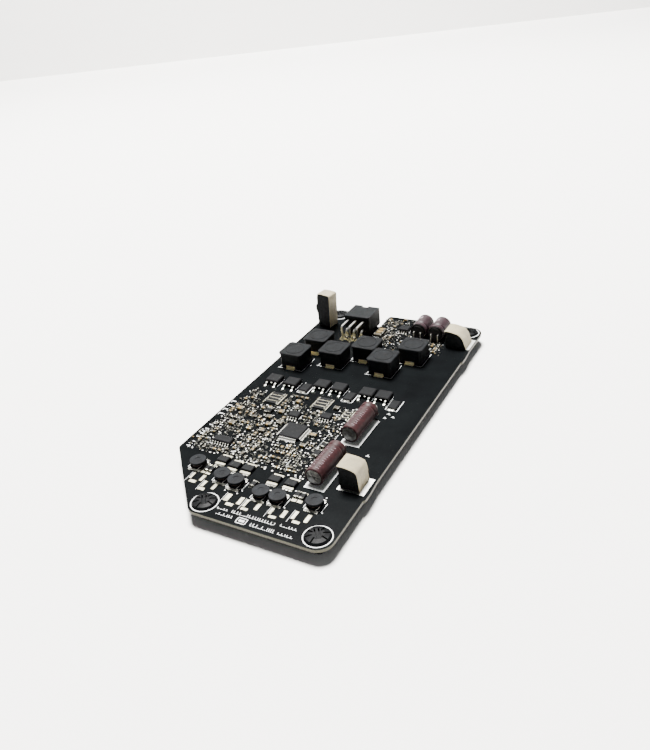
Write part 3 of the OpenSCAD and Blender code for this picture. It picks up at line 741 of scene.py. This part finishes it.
# ------------------------------------------------------------ solder joints
flux, tails = Shells(), Shells()
JOINT = [(1.75, 0.0), (1.7, 0.1), (1.35, 0.4), (1.0, 0.8), (0.8, 1.15)]
for node in ("header_pins_upper", "header_pins_lower"):
    for pin in solids(node):
        px, py = (pin[0] + pin[1]) / 2, pin[2] + (pin[1] - pin[0]) / 2
        flux.lathe(px, py, JOINT, 28)
        tails.lathe(px, py, [(r, BOARD_Z - z * 1.5) for r, z in JOINT], 28)
SMALL_JOINT = [(0.85, 0.0), (0.8, 0.06), (0.55, 0.22), (0.4, 0.5), (0.33, 0.7)]
for lead in solids("capacitor_leads"):
    front_cap = middle(lead)[1] < 100
    px = (lead[0] + lead[1]) / 2
    py = lead[3] - 0.3 if front_cap else lead[2] + 0.3
    joints.lathe(px, py, SMALL_JOINT, 20)
    tails.lathe(px, py, [(r, BOARD_Z - z) for r, z in SMALL_JOINT], 20)
for node in ("transistor_leads", "transistor_tabs"):
    for box in solids(node):
        if box[4] > 0.3:
            continue
        way = 3 if node == "transistor_leads" else 1
        edge_y = box[2] if way == 3 else box[3]
        joints.wedge(middle(box)[0], edge_y, way, (box[1] - box[0]) * (1.35 if way == 3 else 1.0), [
            (-0.9, 0.0), (0.45, 0.0), (0.42, 0.06), (0.16, 0.2), (0.02, 0.38), (-0.9, 0.1)])
gold_joints = Shells()
for node, owners, share, tall, shells in (
        ("diode_terminals", ["diode_1", "diode_2", "diode_3"], 0.98, 0.2, joints),
        ("filter_terminals", ["filter_blocks"], 0.98, 0.2, joints),
        ("drum_terminals", DRUMS, 0.98, 0.2, joints),
        ("inductor_terminals", INDUCTORS, 0.96, 0.3, gold_joints)):
    owner_boxes = [b for owner in owners for b in solids(owner)]
    for box in solids(node):
        ex, ey = middle(box)
        near = min(owner_boxes, key=lambda b: math.dist(middle(b), (ex, ey)))
        way = 1 if ey > middle(near)[1] else 3
        shells.wedge(ex, box[3] if way == 1 else box[2], way, (box[1] - box[0]) * share, [
            (-0.25, 0.0), (0.3, 0.0), (0.27, 0.06), (0.08, 0.6 * tall), (-0.25, tall)])

# ------------------------------------------------------------ drum windings
coils, wire_ends = Shells(), Shells()
TURNS, STEPS = 6, 20  # turns of wire, and steps in each
COIL_RADIUS, COIL_FOOT, COIL_HEIGHT = 2.6, 1.22, 0.86
for node in DRUMS:
    cx, cy = middle(node_box(node))
    path = [Vector((cx + COIL_RADIUS * math.cos(a), cy + COIL_RADIUS * math.sin(a),
                    COIL_FOOT + COIL_HEIGHT * a / (2 * math.pi * TURNS)))
            for a in (2 * math.pi * i / STEPS for i in range(TURNS * STEPS + 1))]
    coils.tube(path, 0.11, 6)
    wire_ends.tube([Vector((cx + 2.5, cy - 0.9, 1.3)), Vector((cx + 2.55, cy - 1.9, 1.28)),
                    Vector((cx + 2.2, cy - 2.9, 1.18)), Vector((cx + 1.95, cy - 3.4, 0.85)),
                    Vector((cx + 1.9, cy - 3.6, 0.45))], 0.15, 8)

# -------------------------------------------------------- capacitor printing
marks, stripes = Shells(), Shells()
for k in range(1, 5):
    x0, x1, y0, y1, z0, z1 = node_box(f"capacitor_sleeve_{k}")
    cx, cz, r = (x0 + x1) / 2, (z0 + z1) / 2, (x1 - x0) / 2 + 0.005
    if k < 3:
        for start, step in ((62, 1.3), (104, 1.55)):
            y = y0 + 1.6
            while y < y1 - 4.6:
                end = start + dice.choice((10, 16, 24))
                marks.patch(cx, cz, r, start, end, y, y + 0.09)
                if dice.random() < 0.3:
                    marks.patch(cx, cz, r, start, start + 3, y, y + 0.4)
                y += step * dice.choice((0.5, 1.0, 1.0))
    else:
        marks.patch(cx, cz, r, 96, 124, y1 - 4.6, y1 - 3.8)
        marks.patch(cx, cz, r, 96, 112, y1 - 3.3, y1 - 2.9)
        stripes.patch(cx, cz, r, -28, 12, y0 + 4.4, y1 - 0.8, steps=12)

piece("board_printing", ink, INK_FINISH)
piece("bare_pads", bare, CREAM_FINISH)
piece("bank_rungs", rungs, CREAM_FINISH)
piece("chip_pads", pads, CHIP_END_FINISH)
piece("solder_fillets", joints, CHIP_END_FINISH, sharp=50)
piece("terminal_fillets", gold_joints, FINISHES["gold_terminal"], sharp=50)
piece("tiny_resistors", tiny_bodies, FINISHES["mould_compound"])
piece("tiny_capacitors", tiny_tan, FINISHES["chip_ceramic"])
piece("tiny_ends", tiny_ends, CHIP_END_FINISH)
piece("via_rings", vias, LAND_FINISH)
piece("tented_vias", tented, FINISHES["solder_mask"])
piece("header_solder", flux, FLUX_FINISH, sharp=50)
piece("underside_solder", tails, FINISHES[SILVER], sharp=50)
piece("drum_coils", coils, WIRE_FINISH, sharp=60)
piece("drum_wire_ends", wire_ends, FINISHES[SILVER], sharp=60)
piece("capacitor_marks", marks, LILAC_FINISH)
piece("capacitor_stripes", stripes, LILAC_FINISH)


# ----------------------------------------------------------------- gaskets
def curve_through(points, steps):
    """A smooth 2-D path through points, close to evenly spaced."""
    dense = []
    for i in range(len(points) - 1):
        p = [Vector(points[max(0, min(len(points) - 1, i + k))]) for k in (-1, 0, 1, 2)]
        for j in range(24):
            t = j / 24
            dense.append(0.5 * (2 * p[1] + (p[2] - p[0]) * t
                                + (2 * p[0] - 5 * p[1] + 4 * p[2] - p[3]) * t * t
                                + (3 * p[1] - p[0] - 3 * p[2] + p[3]) * t ** 3))
    dense.append(Vector(points[-1]))
    lengths = [0.0]
    for a, b in zip(dense, dense[1:]):
        lengths.append(lengths[-1] + (b - a).length)
    path, j = [], 0
    for k in range(steps + 1):
        want = lengths[-1] * k / steps
        while j < len(dense) - 2 and lengths[j + 1] < want:
            j += 1
        share = (want - lengths[j]) / max(lengths[j + 1] - lengths[j], 1e-9)
        path.append(dense[j].lerp(dense[j + 1], share))
    return path


COVER_STEPS, ROWS = 72, 34  # the cloth's grid, along its section and across it
VOXEL = 0.2  # of the foam cores


def gasket(name, box, cover, side, crease, seed, turn=0.0):
    """Woven jacket over a cut foam core. box is x0, x1, y0, y1 before the turn; cover
    runs along the top and down the right side, side up the bare left side, both in
    parts of the section."""
    x0, x1, y0, y1 = box
    z0, z1 = node_box("jacket_" + name)[4:]
    middle_x, middle_y = middle(box)
    wide, deep = x1 - x0, y1 - y0
    c, s = math.cos(math.radians(turn)), math.sin(math.radians(turn))

    def turned(x, y, z):
        return (middle_x + x * c - y * s, middle_y + x * s + y * c, max(z, z0))

    def section(shares, steps):
        return curve_through([(wide * (a - 0.5), z0 + (z1 - z0) * b) for a, b in shares], steps)

    path = section(cover, COVER_STEPS)
    outer, inner = [], []
    for i, p in enumerate(path):
        ahead = (path[min(i + 1, len(path) - 1)] - path[max(i - 1, 0)]).normalized()
        normal = Vector((-ahead.y, ahead.x))
        along = i / (len(path) - 1)
        held = min(1.0, 6 * along + 0.3, 6 * (1 - along))
        outer_row, inner_row = [], []
        for j in range(ROWS + 1):
            y = deep * (j / ROWS - 0.5)
            spot = Vector((p.x * 0.28, y * 0.42, p.y * 0.28 + seed))
            fold = noise.noise(spot) * crease + noise.noise(spot * 3.1) * crease * 0.35
            lift = (fold - crease * 0.35) * held
            ragged = noise.noise(Vector((along * 21, seed, j))) * 0.1 if j in (0, ROWS) else 0.0
            fray = noise.noise(Vector((j * 0.9, seed, 3.0))) * 0.2 if i == 0 else 0.0
            top = p + normal * lift - ahead * fray
            low = p - normal * (JACKET - lift) - ahead * fray
            outer_row.append(turned(top.x, y + ragged, top.y))
            inner_row.append(turned(low.x, y + ragged, low.y))
        outer.append(outer_row)
        inner.append(inner_row)
    shell = Shells()
    shell.loft([row + list(reversed(back)) for row, back in zip(outer, inner)])
    jacket = piece(f"woven_jacket_{name}", shell, FINISHES["gasket_jacket"],
                   name + "_gasket", sharp=60)

    core = Shells()
    ring = [(p.x, p.y) for p in section(side, 30)[:-1]]
    for i, p in enumerate(path):
        ahead = (path[min(i + 1, len(path) - 1)] - path[max(i - 1, 0)]).normalized()
        inside = p + Vector((ahead.y, -ahead.x)) * (JACKET + 0.16)
        ring.append((inside.x, inside.y))
    core.loft([[turned(x, y, z) for x, z in ring] for y in (0.2 - deep / 2, deep / 2 - 0.2)])
    mesh = bpy.data.meshes.new("core")
    mesh.from_pydata([at(*p) for p in core.points], [], core.faces)
    temporary = bpy.data.objects.new("core", mesh)
    bpy.context.scene.collection.objects.link(temporary)
    remesh = temporary.modifiers.new("voxels", "REMESH")
    remesh.mode = "VOXEL"
    remesh.voxel_size = VOXEL * MM
    bpy.context.view_layer.update()
    graph = bpy.context.evaluated_depsgraph_get()
    done = bpy.data.meshes.new_from_object(temporary.evaluated_get(graph))
    bpy.data.objects.remove(temporary)
    for vert in done.vertices:
        p = in_board(vert.co)
        pore = noise.voronoi(p * 1.5 + Vector((seed, 0, 0)))[0][0]
        rough = noise.noise(p * 0.8) * 0.12 + noise.noise(p * 3.0) * 0.05
        dent = 0.16 * max(0.0, 0.45 - pore) / 0.45
        moved = vert.co + vert.normal * (rough - dent) * MM
        moved.z = max(moved.z, at(0, 0, z0).z)
        vert.co = moved
    foam = add_object(f"foam_core_{name}", done, FINISHES["gasket_foam"],
                      name + "_gasket", sharp=70)

    for soft, node in ((jacket, "jacket_" + name), (foam, "foam_" + name)):
        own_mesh(soft)
        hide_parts(node)


gasket("front", (74.1, 82.9, 31.9, 40.3),
       ((0.01, 0.985), (0.2, 1.0), (0.44, 0.985), (0.72, 0.94), (0.87, 0.88),
        (0.93, 0.77), (0.96, 0.53), (0.98, 0.25), (1, 0)),
       ((0.05, 0), (0.03, 0.3), (0.06, 0.6), (0.03, 0.93)), 0.16, 3.0)
gasket("rear", (73.4, 84.2, 145.8, 155.0),
       ((0.01, 0.985), (0.2, 1.0), (0.42, 0.96), (0.68, 0.85), (0.84, 0.62), (0.93, 0.34),
        (0.98, 0.14), (1, 0)),
       ((0.04, 0), (0.02, 0.4), (0.05, 0.7), (0.03, 0.92)), 0.16, 17.0)
gasket("tall", (1.7, 9.8, 148.5, 155.0),
       ((0.16, 0.985), (0.4, 1.0), (0.95, 0.995), (1.09, 0.975), (1.14, 0.92), (1.1, 0.6),
        (1.06, 0.3), (1.0, 0)),
       ((0.02, 0), (0.04, 0.25), (0.03, 0.38), (-0.06, 0.5), (-0.05, 0.6), (0.06, 0.68),
        (0.1, 0.85), (0.15, 0.96)), 0.2, 41.0, turn=-9.0)

# -------------------------------------------------- floor, light and camera
FLOOR_FINISH = floor_finish()
# A pale floor, and a pale wall well behind the board
for name, place, tilt, tall in (
        ("floor", (0, 0, 0), (0, 0, 0), 12),
        ("wall", (-0.9, 1.46, 0), (math.pi / 2, 0, math.radians(31.6)), 0.6)):
    bpy.ops.mesh.primitive_plane_add(size=1, location=place, rotation=tilt)
    plane = bpy.context.object
    plane.scale = (12, tall, 1)
    plane.name = name
    plane.data.materials.append(FLOOR_FINISH)


def area_light(name, place, target, size, power, tint):
    light = bpy.data.lights.new(name, "AREA")
    light.shape = "DISK"
    light.size = size
    light.energy = power
    light.color = tint
    obj = bpy.data.objects.new(name, light)
    obj.location = place
    obj.rotation_euler = (Vector(target) - Vector(place)).to_track_quat("-Z", "Y").to_euler()
    bpy.context.scene.collection.objects.link(obj)


area_light("key", (-0.55, 0.75, 2.15), (0, 0, 0), 0.9, 440.0, (1.0, 0.985, 0.96))
area_light("fill", (0.5, -0.7, 0.6), (0, 0, 0), 0.9, 1.0, (0.96, 0.98, 1.0))
world = bpy.data.worlds.new("studio")
bpy.context.scene.world = world
world.use_nodes = True
world.node_tree.nodes["Background"].inputs["Color"].default_value = (1.0, 1.0, 1.0, 1.0)
world.node_tree.nodes["Background"].inputs["Strength"].default_value = 0.1

CAMERA_PLACE = Vector((0.138, -0.2271, 0.171))
CAMERA_AIM = Vector((-0.013, 0.0182, 0.0057))
CAMERA_ROLL = math.radians(-6.54)
camera = bpy.data.objects.new("camera", bpy.data.cameras.new("camera"))
camera.data.lens = 33.95
camera.data.sensor_width = 36
camera.data.clip_start = 0.01
camera.location = CAMERA_PLACE
camera.rotation_mode = "QUATERNION"
camera.rotation_quaternion = ((CAMERA_AIM - CAMERA_PLACE).to_track_quat("-Z", "Y")
                              @ Quaternion((0, 0, 1), CAMERA_ROLL))
bpy.context.scene.collection.objects.link(camera)
bpy.context.scene.camera = camera
